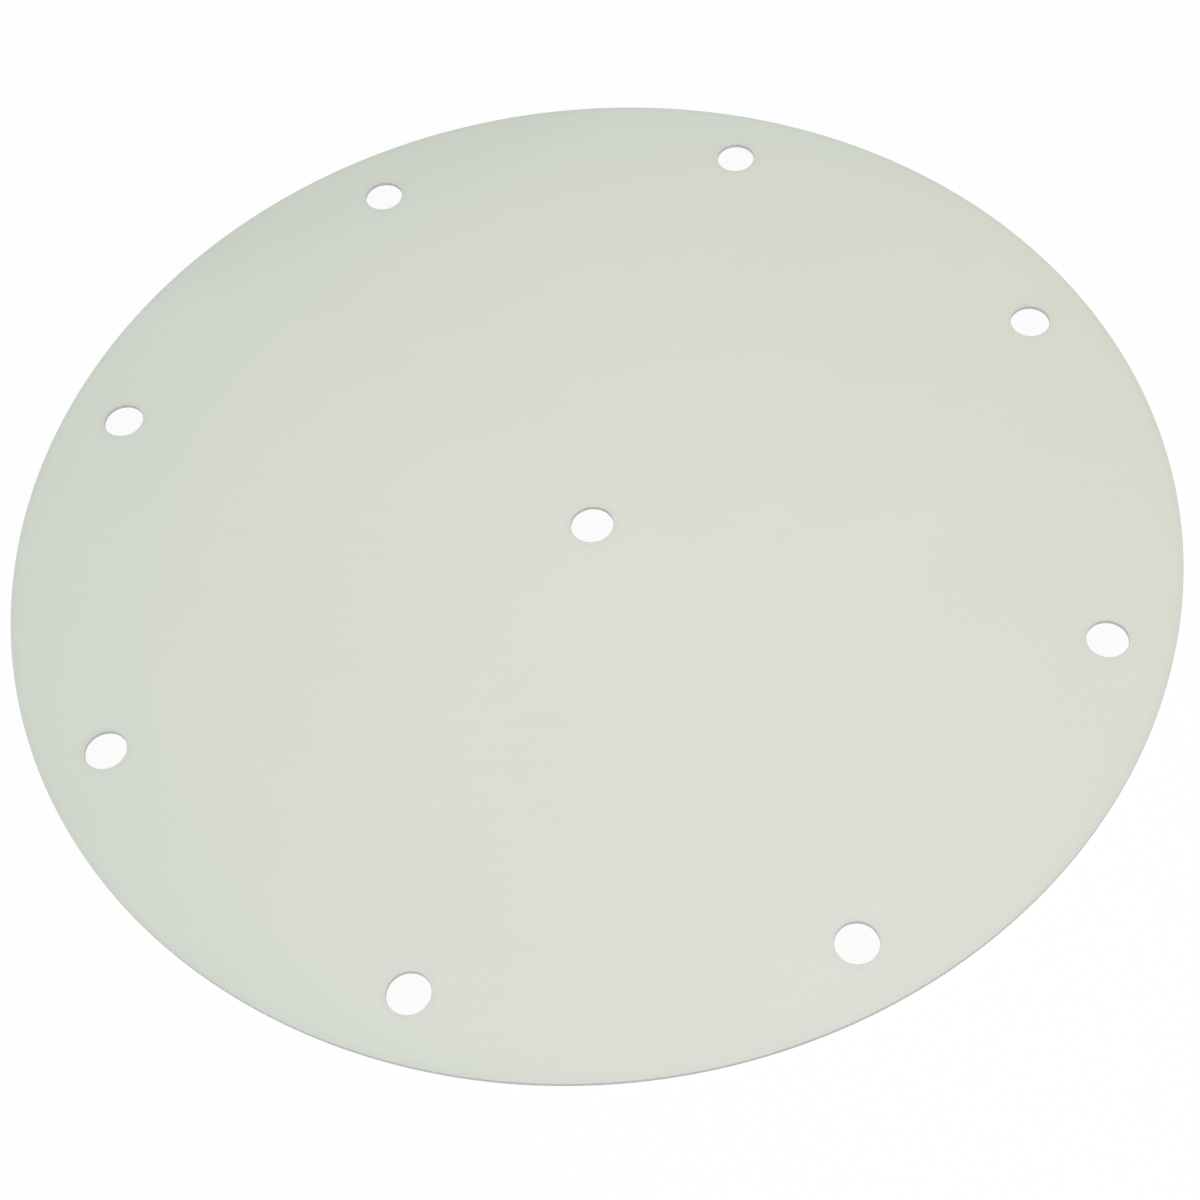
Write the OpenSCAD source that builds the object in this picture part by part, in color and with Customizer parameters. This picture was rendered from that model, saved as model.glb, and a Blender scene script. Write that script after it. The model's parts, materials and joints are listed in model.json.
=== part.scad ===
// Flat diaphragm seal: one thin round sheet of white fluoropolymer, cut out with a steel die.
// Flange bolts clamp it round its rim, and a stem with a pair of plates clamps it at its middle.
// It lies flat. The origin is at the middle of its underside, and +Z points up through the sheet.

/* [Sheet] */
// Outside diameter of the sheet
sheet_d = 203.2; // [150:0.1:300]
// Thickness of the sheet
sheet_t = 0.8; // [0.5:0.05:3]

/* [Bolt holes] */
// Number of bolt holes, evenly spaced round the rim
bolt_count = 8; // [4:1:16]
// Diameter of each bolt hole
bolt_hole_d = 7.1; // [4:0.1:12]
// Distance from the rim to the middle of each bolt hole
bolt_inset = 11.1; // [8:0.1:25]

/* [Stem hole] */
// Diameter of the hole at the middle, which the stem passes through
stem_hole_d = 7.5; // [4:0.1:40]

/* [Cut edges] */
// Radius to which the die rolls every edge of the upper face, the side that it enters
die_roll_r = 0.12; // [0.05:0.01:0.3]

/* [Hidden] */

// Radius of the circle that the bolt holes lie on
bolt_circle_r = sheet_d / 2 - bolt_inset;
// Angle from one bolt hole to the next
bolt_pitch = 360 / bolt_count;
// Height at which the rolled edges start
roll_z = sheet_t - die_roll_r;
// How far each cutting shape runs past the faces that it cuts
overrun = 1;
// Milky white with a little green and grey in it
sheet_colour = [0.86, 0.87, 0.83];
// Fineness of the round shapes
$fn = 128;

// What the die presses off a square edge: all that lies outside a quarter circle round the origin
module rolled_off() {
    difference() {
        square(die_roll_r + overrun);
        circle(die_roll_r);
    }
}

// The uncut disc, turned from half of its section, with a rolled upper rim and a crisp lower one
module blank() {
    rotate_extrude() difference() {
        square([sheet_d / 2, sheet_t]);
        translate([sheet_d / 2 - die_roll_r, roll_z]) rolled_off();
    }
}

// The cutter for one round hole, which flares where the die rolls the upper edge of the hole
module hole_cutter(hole_d) {
    rotate_extrude() {
        translate([0, -overrun]) square([hole_d / 2, sheet_t + 2 * overrun]);
        intersection() {
            translate([hole_d / 2 + die_roll_r, roll_z]) mirror([1, 0]) rolled_off();
            square([hole_d / 2 + die_roll_r, sheet_t + overrun]);
        }
    }
}

// The ring of bolt holes. It straddles the X and Y axes, as a flange's holes do.
module bolt_hole_cutters() {
    for (place = [0 : bolt_count - 1])
        rotate((place + 0.5) * bolt_pitch)
            translate([bolt_circle_r, 0]) hole_cutter(bolt_hole_d);
}

// The whole sheet
module diaphragm() {
    color(sheet_colour) difference() {
        blank();
        bolt_hole_cutters();
        hole_cutter(stem_hole_d);
    }
}

diaphragm();
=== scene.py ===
import json
import math

import bpy
from mathutils import Matrix, Vector


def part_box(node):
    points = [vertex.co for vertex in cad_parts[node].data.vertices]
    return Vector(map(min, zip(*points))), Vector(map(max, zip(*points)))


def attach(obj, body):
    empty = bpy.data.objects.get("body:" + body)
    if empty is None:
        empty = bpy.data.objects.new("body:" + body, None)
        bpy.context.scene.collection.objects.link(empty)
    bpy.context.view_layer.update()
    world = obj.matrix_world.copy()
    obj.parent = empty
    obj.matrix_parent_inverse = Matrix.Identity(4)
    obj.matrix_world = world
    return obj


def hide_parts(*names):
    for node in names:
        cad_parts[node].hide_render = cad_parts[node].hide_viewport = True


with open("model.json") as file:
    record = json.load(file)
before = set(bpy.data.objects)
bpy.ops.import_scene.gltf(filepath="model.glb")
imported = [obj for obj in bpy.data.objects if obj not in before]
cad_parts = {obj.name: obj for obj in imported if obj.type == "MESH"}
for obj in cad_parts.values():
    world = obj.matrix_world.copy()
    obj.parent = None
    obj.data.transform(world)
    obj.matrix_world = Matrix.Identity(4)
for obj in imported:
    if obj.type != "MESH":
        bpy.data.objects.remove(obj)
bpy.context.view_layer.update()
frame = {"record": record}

# The diaphragm sheet
# One disc of milky white fluoropolymer. The sheet was skived off a billet, and one stroke of a steel die cut
# the disc and its nine holes from it, which rolled the upper edges over a little. It lies flat on the table.
MM = 0.001
low_corner, high_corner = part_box("diaphragm")
mount_sizes = {mount["name"]: mount["dims"] for mount in frame["record"]["mounts"]}
sheet_sizes = {
    "Sheet radius": max(high_corner.x, high_corner.y),
    "Thickness": high_corner.z - low_corner.z,
    "Bolt circle radius": mount_sizes["bolt_circle"]["pcd_mm"] / 2 * MM,
    "Bolt hole radius": mount_sizes["bolt_circle"]["hole_r_mm"] * MM,
    "Stem hole radius": mount_sizes["stem_hole"]["r_mm"] * MM,
}
sheet_counts = {
    "Bolt holes": mount_sizes["bolt_circle"]["count"],
    "Points round the rim": 384,
    "Points round a hole": 72,
}
bolt_pitch = 2 * math.pi / sheet_counts["Bolt holes"]
die_roll_radius = 0.12 * MM
die_roll_steps = 5


class Wire:
    """A node tree and one output in it. Arithmetic on it adds Math nodes, and node() adds any other node."""

    def __init__(self, tree, socket=None):
        self.tree = tree
        self.socket = socket

    def node(self, kind, settings=None, inputs=None, output=0):
        """Adds a node, sets its settings first and its sockets next, and wraps one of its outputs."""
        made = self.tree.nodes.new(kind)
        for name, value in (settings or {}).items():
            setattr(made, name, value)
        for name, value in (inputs or {}).items():
            for source in value if isinstance(value, list) else [value]:
                if isinstance(source, Wire):
                    self.tree.links.new(source.socket, made.inputs[name])
                else:
                    made.inputs[name].default_value = source
        return Wire(self.tree, made.outputs[output] if made.outputs else None)

    def math(self, operation, first, second=0.0):
        return self.node("ShaderNodeMath", {"operation": operation}, {0: first, 1: second})

    def __add__(self, other):
        return self.math("ADD", self, other)

    def __radd__(self, other):
        return self.math("ADD", other, self)

    def __sub__(self, other):
        return self.math("SUBTRACT", self, other)

    def __rsub__(self, other):
        return self.math("SUBTRACT", other, self)

    def __mul__(self, other):
        return self.math("MULTIPLY", self, other)

    def __rmul__(self, other):
        return self.math("MULTIPLY", other, self)

    def __truediv__(self, other):
        return self.math("DIVIDE", self, other)

    def __rtruediv__(self, other):
        return self.math("DIVIDE", other, self)


def linear(red, green, blue):
    """A colour read off a screen, in 0 to 255, as the colour that a shader takes."""
    shares = [level / 255 for level in (red, green, blue)]
    return (*[(share + 0.055) ** 2.4 / 1.055**2.4 for share in shares], 1.0)


# The finish of the sheet is smooth, matt and milky
neutral_milk = linear(218, 221, 212)
warm_milk = linear(218, 221, 206)
cool_milk = linear(215, 221, 210)
# The greyer white of the cut walls is a painted shade
painted_shade_cut_milk = linear(203, 203, 203)

sheet_finish = bpy.data.materials.new("milky_fluoropolymer")
sheet_finish.use_nodes = True
sheet_finish.node_tree.nodes.clear()
graph = Wire(sheet_finish.node_tree)
place = graph.node("ShaderNodeTexCoord", output="Object")


def rises(reach, start, end):
    """Goes smoothly from 0 to 1 as a length passes from one share of the sheet's radius to another."""
    return graph.node(
        "ShaderNodeMapRange", {"interpolation_type": "SMOOTHSTEP"},
        {
            "Value": reach,
            "From Min": start * sheet_sizes["Sheet radius"],
            "From Max": end * sheet_sizes["Sheet radius"],
        },
    )


def blend_colours(share, first, second):
    return graph.node("ShaderNodeMix", {"data_type": "RGBA"}, {0: share, 6: first, 7: second}, 2)


# The white turns a little yellower towards the far right, and greener and a little darker along the left
# margin
yellow_side = (0.65, 0.76, 0.0)
middle_of_green_arc = (20 * MM, -10 * MM, 0.0)
to_the_right = graph.node(
    "ShaderNodeVectorMath", {"operation": "DOT_PRODUCT"}, {0: place, 1: yellow_side}, "Value"
)
to_the_left = graph.node(
    "ShaderNodeVectorMath", {"operation": "DISTANCE"}, {0: place, 1: middle_of_green_arc}, "Value"
)
milk = blend_colours(rises(to_the_right, -1.1, 1.1), neutral_milk, warm_milk)
milk = blend_colours(rises(to_the_left, 0.87, 1.05), milk, cool_milk)


def mottle(patch, detail, unevenness=0.5, turn=0.0, offset=0.0):
    """Noise in 0 to 1, in patches of this length, width and height, turned and moved over the sheet."""
    moved = graph.node(
        "ShaderNodeMapping", {"vector_type": "TEXTURE"},
        {"Vector": place, "Location": (offset, 0.0, 0.0), "Rotation": (0.0, 0.0, turn), "Scale": patch},
    )
    return graph.node(
        "ShaderNodeTexNoise", None,
        {"Vector": moved, "Scale": 1.0, "Detail": detail, "Roughness": unevenness},
    )


def scuffs(turn, offset):
    """Hairline scuffs from handling, 10 to 20 mm long, sparse and all turned one way: the noise's peaks."""
    hairlines = mottle((16 * MM, 0.3 * MM, 1.0), 1.0, turn=turn, offset=offset)
    return graph.node("ShaderNodeMapRange", None, {"Value": hairlines, "From Min": 0.68, "From Max": 0.78})


# Cloudy patches inside the sheet; skiving lines along X, each about half a millimetre wide and a hand long;
# the waxy grain of the face itself; and the scuffs, in two directions
cloud = mottle((35.71 * MM, 35.71 * MM, 35.71 * MM), 3.0, 0.55)
lines = mottle((70 * MM, 0.5 * MM, 1.0), 2.0, 0.6)
grain = mottle((0.3846 * MM, 0.3846 * MM, 0.3846 * MM), 2.0)
scuffed = graph.math("MAXIMUM", scuffs(math.radians(32), 0.3), scuffs(math.radians(-57), 0.7))

# A margin along every cut edge is a little darker and a little smoother. The bolt holes are alike, so each
# point's bearing is folded into one pitch, with the nearest hole in its middle.
edge_margin_width = 1.8 * MM
flat_place = graph.node("ShaderNodeVectorMath", {"operation": "MULTIPLY"}, {0: place, 1: (1.0, 1.0, 0.0)})
from_middle = graph.node("ShaderNodeVectorMath", {"operation": "LENGTH"}, {0: flat_place}, "Value")
across = graph.node("ShaderNodeSeparateXYZ", None, {"Vector": place}, "X")
deep = graph.node("ShaderNodeSeparateXYZ", None, {"Vector": place}, "Y")
bearing = graph.math("FLOORED_MODULO", graph.math("ARCTAN2", deep, across), bolt_pitch) - bolt_pitch / 2
outward = from_middle * graph.math("COSINE", bearing) - sheet_sizes["Bolt circle radius"]
sideways = from_middle * graph.math("SINE", bearing)
to_bolt_hole = graph.math("SQRT", outward * outward + sideways * sideways) - sheet_sizes["Bolt hole radius"]
to_stem_hole = from_middle - sheet_sizes["Stem hole radius"]
to_rim = sheet_sizes["Sheet radius"] - from_middle
to_cut = graph.math("MINIMUM", graph.math("MINIMUM", to_bolt_hole, to_stem_hole), to_rim)
edge_margin = graph.node(
    "ShaderNodeMapRange", {"interpolation_type": "SMOOTHSTEP"},
    {"Value": to_cut, "From Min": 0.0, "From Max": edge_margin_width, "To Min": 1.0, "To Max": 0.0},
)

# Painted shade: the sheet's colour greys slowly from the middle outwards, and faster over the last 8 mm
painted_rim_shade = 0.028 * rises(from_middle, 0.0, 1.2) + 0.013 * rises(from_middle, 0.92, 1.0)

# Painted shade: the far left margin, which lies furthest from the soft box, is darkened a shade more in the
# colour
far_left_side = (-0.38, 0.92, 0.0)
to_the_far_left = graph.node(
    "ShaderNodeVectorMath", {"operation": "DOT_PRODUCT"}, {0: place, 1: far_left_side}, "Value"
)
painted_far_left_shade = 0.032 * rises(to_the_far_left, 0.80, 0.92)

# How far each of these lightens or darkens the milk, as a share of it
tone = (
    1.0 + 0.030 * (cloud - 0.5) + 0.032 * (lines - 0.5) + 0.030 * (grain - 0.5)
    + 0.030 * scuffed - 0.035 * edge_margin - painted_rim_shade - painted_far_left_shade
)
face_colour = graph.node("ShaderNodeVectorMath", {"operation": "SCALE"}, {0: milk, "Scale": tone})

# The cut walls of the rim and of the holes get a greyer colour than the faces, a painted shade, with the
# die's fine upright streaks.
# A spot counts as face or as wall by how far its normal points upwards or downwards.
face_share = 0.95
wall_share = 0.3
normal = graph.node("ShaderNodeNewGeometry", output="Normal")
upward = graph.node("ShaderNodeSeparateXYZ", None, {"Vector": normal}, "Z")
on_wall = graph.node(
    "ShaderNodeMapRange", None,
    {"Value": graph.math("ABSOLUTE", upward), "From Min": face_share, "From Max": wall_share},
)
streaks = mottle((0.3 * MM, 0.3 * MM, 6 * MM), 2.0)
wall_tone = 1.0 + 0.09 * (streaks - 0.5)
wall_colour_with_painted_shade = graph.node(
    "ShaderNodeVectorMath", {"operation": "SCALE"}, {0: painted_shade_cut_milk[:3], "Scale": wall_tone}
)
colour = blend_colours(on_wall, face_colour, wall_colour_with_painted_shade)

# The relief of the lines, the grain, the scuffs and the streaks is a hundredth of a millimetre or so
relief_height = 0.015 * MM
relief_strength = 0.6
roughness = 0.46 + 0.10 * (cloud - 0.5) + 0.12 * (grain - 0.5) + 0.10 * scuffed - 0.06 * edge_margin
face_relief = 0.6 * lines + 0.4 * grain - 0.5 * scuffed
relief = face_relief * (1.0 - on_wall) + 0.8 * streaks * on_wall
bump = graph.node(
    "ShaderNodeBump", None,
    {"Strength": relief_strength, "Distance": relief_height, "Height": relief}, "Normal",
)
surface = graph.node(
    "ShaderNodeBsdfPrincipled", None,
    {"Base Color": colour, "Roughness": roughness, "IOR": 1.38, "Normal": bump},
)
graph.node("ShaderNodeOutputMaterial", None, {"Surface": surface})

# The shape of the sheet: its rim and nine holes are drawn as circles, filled as one flat face and raised
weld_distance = 0.001 * MM
sheet_form = bpy.data.node_groups.new("cut_sheet", "GeometryNodeTree")
sheet_inputs = {}
for name, value in {**sheet_sizes, **sheet_counts}.items():
    kind = "NodeSocketInt" if name in sheet_counts else "NodeSocketFloat"
    socket = sheet_form.interface.new_socket(name, in_out="INPUT", socket_type=kind)
    sheet_inputs[socket.identifier] = value
sheet_form.interface.new_socket("Sheet", in_out="OUTPUT", socket_type="NodeSocketGeometry")
form = Wire(sheet_form)
size = {name: form.node("NodeGroupInput", output=name) for name in {**sheet_sizes, **sheet_counts}}


def circle(points, radius):
    return form.node(
        "GeometryNodeCurvePrimitiveCircle", {"mode": "RADIUS"},
        {"Resolution": size[points], "Radius": size[radius]}, "Curve",
    )


rim = circle("Points round the rim", "Sheet radius")
stem_hole = circle("Points round a hole", "Stem hole radius")
bolt_hole = circle("Points round a hole", "Bolt hole radius")
ring = form.node(
    "GeometryNodeMeshCircle", {"fill_type": "NONE"},
    {"Vertices": size["Bolt holes"], "Radius": size["Bolt circle radius"]},
)
half_pitch = form.node("ShaderNodeCombineXYZ", None, {"Z": math.pi / size["Bolt holes"]})
straddled = form.node("GeometryNodeTransform", None, {"Geometry": ring, "Rotation": half_pitch})
placed = form.node("GeometryNodeInstanceOnPoints", None, {"Points": straddled, "Instance": bolt_hole})
bolt_holes = form.node("GeometryNodeRealizeInstances", None, {"Geometry": placed})
outline = form.node("GeometryNodeJoinGeometry", None, {"Geometry": [rim, stem_hole, bolt_holes]})
underside = form.node("GeometryNodeFillCurve", {"mode": "NGONS"}, {"Curve": outline})
raised = form.node(
    "GeometryNodeExtrudeMesh", {"mode": "FACES"},
    {"Mesh": underside, "Offset": (0.0, 0.0, 1.0), "Offset Scale": size["Thickness"], "Individual": False},
)
turned = form.node("GeometryNodeFlipFaces", None, {"Mesh": underside})
both = form.node("GeometryNodeJoinGeometry", None, {"Geometry": [raised, turned]})
closed = form.node("GeometryNodeMergeByDistance", None, {"Geometry": both, "Distance": weld_distance})

# The square upper edges are marked for the die's roll
square_angle = math.radians(45)
corner = form.node("GeometryNodeInputMeshEdgeAngle", output="Unsigned Angle")
height = form.node(
    "ShaderNodeSeparateXYZ", None, {"Vector": form.node("GeometryNodeInputPosition")}, "Z"
)
square_edge = form.math("GREATER_THAN", corner, square_angle)
upper_edge = form.math("GREATER_THAN", height, size["Thickness"] / 2)
marked = form.node(
    "GeometryNodeStoreNamedAttribute", {"data_type": "FLOAT", "domain": "EDGE"},
    {"Geometry": closed, "Name": "bevel_weight_edge", "Value": square_edge * upper_edge},
)
whole = form.node("GeometryNodeRealizeInstances", None, {"Geometry": marked})
finished = form.node("GeometryNodeSetMaterial", None, {"Geometry": whole, "Material": sheet_finish})
form.node("NodeGroupOutput", None, {"Sheet": finished})

draft = bpy.data.objects.new("draft", bpy.data.meshes.new("draft"))
bpy.context.scene.collection.objects.link(draft)
cut = draft.modifiers.new("cut", "NODES")
cut.node_group = sheet_form
for identifier, value in sheet_inputs.items():
    cut[identifier] = value
roll = draft.modifiers.new("roll", "BEVEL")
roll.limit_method = "WEIGHT"
roll.width = die_roll_radius
roll.segments = die_roll_steps
bpy.context.view_layer.update()
evaluated = draft.evaluated_get(bpy.context.evaluated_depsgraph_get())
sheet_mesh = bpy.data.meshes.new_from_object(evaluated)
bpy.data.objects.remove(draft)

# The two faces are flat, and the walls and the rolled edges are smooth
level_normal = 0.9999
for polygon in sheet_mesh.polygons:
    polygon.use_smooth = abs(polygon.normal.z) < level_normal
sheet_mesh.name = "diaphragm_sheet"
sheet = bpy.data.objects.new("diaphragm_sheet", sheet_mesh)
bpy.context.scene.collection.objects.link(sheet)
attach(sheet, "root")
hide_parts("diaphragm")

# The table
# A plain table painted white, which the sheet lies on. Round the sheet it shows a share of the thin shadow,
# and further out it is pure white. Seen through the sheet's holes its white is dimmed a little, a painted
# shade.
table_size = 3.0
table_gap = 0.02 * MM
table_shadow = 0.12
painted_shade_in_holes = 0.033
shadow_fades_from = 120 * MM
shadow_fades_to = 300 * MM
table_paint = (0.98, 0.98, 0.98, 1.0)
pure_white = (1.0, 1.0, 1.0, 1.0)


def seen_by_eye(tree):
    """1 for what the camera sees, straight or by reflection, and 0 for the light that falls on the object."""
    camera_ray = tree.node("ShaderNodeLightPath", output="Is Camera Ray")
    glossy_ray = tree.node("ShaderNodeLightPath", output="Is Glossy Ray")
    clear_ray = tree.node("ShaderNodeLightPath", output="Is Transmission Ray")
    return tree.math("MAXIMUM", tree.math("MAXIMUM", camera_ray, glossy_ray), clear_ray)


table_finish = bpy.data.materials.new("white_table")
table_finish.use_nodes = True
table_finish.node_tree.nodes.clear()
graph = Wire(table_finish.node_tree)
painted = graph.node("ShaderNodeBsdfDiffuse", None, {"Color": table_paint})
place = graph.node("ShaderNodeTexCoord", output="Object")
from_sheet = graph.node("ShaderNodeVectorMath", {"operation": "LENGTH"}, {0: place}, "Value")
# Painted shade: under the sheet the white is dimmed a little, where it shows through the holes
glow = 1.0 - painted_shade_in_holes * (1.0 - rises(from_sheet, 0.94, 1.0))
glowing = graph.node("ShaderNodeEmission", None, {"Color": pure_white, "Strength": glow})
shadow_kept = graph.node(
    "ShaderNodeMapRange", {"interpolation_type": "SMOOTHSTEP"},
    {
        "Value": from_sheet,
        "From Min": shadow_fades_from,
        "From Max": shadow_fades_to,
        "To Min": table_shadow,
        "To Max": 0.0,
    },
)
table_surface = graph.node(
    "ShaderNodeMixShader", None, {0: (1.0 - shadow_kept) * seen_by_eye(graph), 1: painted, 2: glowing}
)
graph.node("ShaderNodeOutputMaterial", None, {"Surface": table_surface})

half = table_size / 2
corners = [(-half, -half), (half, -half), (half, half), (-half, half)]
table_mesh = bpy.data.meshes.new("table")
table_mesh.from_pydata([(x, y, -table_gap) for x, y in corners], [], [(0, 1, 2, 3)])
table_mesh.materials.append(table_finish)
table = bpy.data.objects.new("table", table_mesh)
bpy.context.scene.collection.objects.link(table)

# The studio light
# One soft box hangs over the sheet, a little to the front and the right, and the white room fills in
# the rest.
box_place = Vector((0.062, -0.106, 0.60))
box_width = 0.35
box_power = 2.35
room_light = 0.416

box_data = bpy.data.lights.new("soft_box", "AREA")
box_data.shape = "SQUARE"
box_data.size = box_width
box_data.energy = box_power
soft_box = bpy.data.objects.new("soft_box", box_data)
soft_box.matrix_world = Matrix.Translation(box_place) @ box_place.to_track_quat("Z", "Y").to_matrix().to_4x4()
bpy.context.scene.collection.objects.link(soft_box)

room = bpy.data.worlds.new("room")
room.use_nodes = True
room.node_tree.nodes.clear()
graph = Wire(room.node_tree)
backdrop = graph.node("ShaderNodeBackground", None, {"Color": pure_white, "Strength": 1.0})
fill_light = graph.node("ShaderNodeBackground", None, {"Color": pure_white, "Strength": room_light})
room_surface = graph.node("ShaderNodeMixShader", None, {0: seen_by_eye(graph), 1: fill_light, 2: backdrop})
graph.node("ShaderNodeOutputWorld", None, {"Surface": room_surface})
bpy.context.scene.world = room

# The camera
# It looks down on the sheet from the front, held a little out of level, with a short telephoto lens. The
# picture is cropped a little to one side of the lens's axis.
camera_azimuth = math.radians(-1.03)
camera_elevation = math.radians(57.03)
camera_distance = 365.5 * MM
camera_roll = math.radians(-5.45)
camera_aim = Vector((13.72 * MM, -17.70 * MM, sheet_sizes["Thickness"]))
camera_crop = -0.0667
camera_lens = 64.42
camera_frame_width = 36.0

camera_data = bpy.data.cameras.new("camera")
camera_data.sensor_width = camera_frame_width
camera_data.lens = camera_lens
camera_data.shift_x = camera_crop
camera_data.clip_start = 0.01
back = Vector((
    math.sin(camera_azimuth) * math.cos(camera_elevation),
    -math.cos(camera_azimuth) * math.cos(camera_elevation),
    math.sin(camera_elevation),
))
camera = bpy.data.objects.new("camera", camera_data)
camera.matrix_world = (
    Matrix.Translation(camera_aim + back * camera_distance)
    @ back.to_track_quat("Z", "Y").to_matrix().to_4x4()
    @ Matrix.Rotation(camera_roll, 4, "Z")
)
bpy.context.scene.collection.objects.link(camera)
bpy.context.scene.camera = camera
bpy.context.scene.view_settings.view_transform = "Standard"
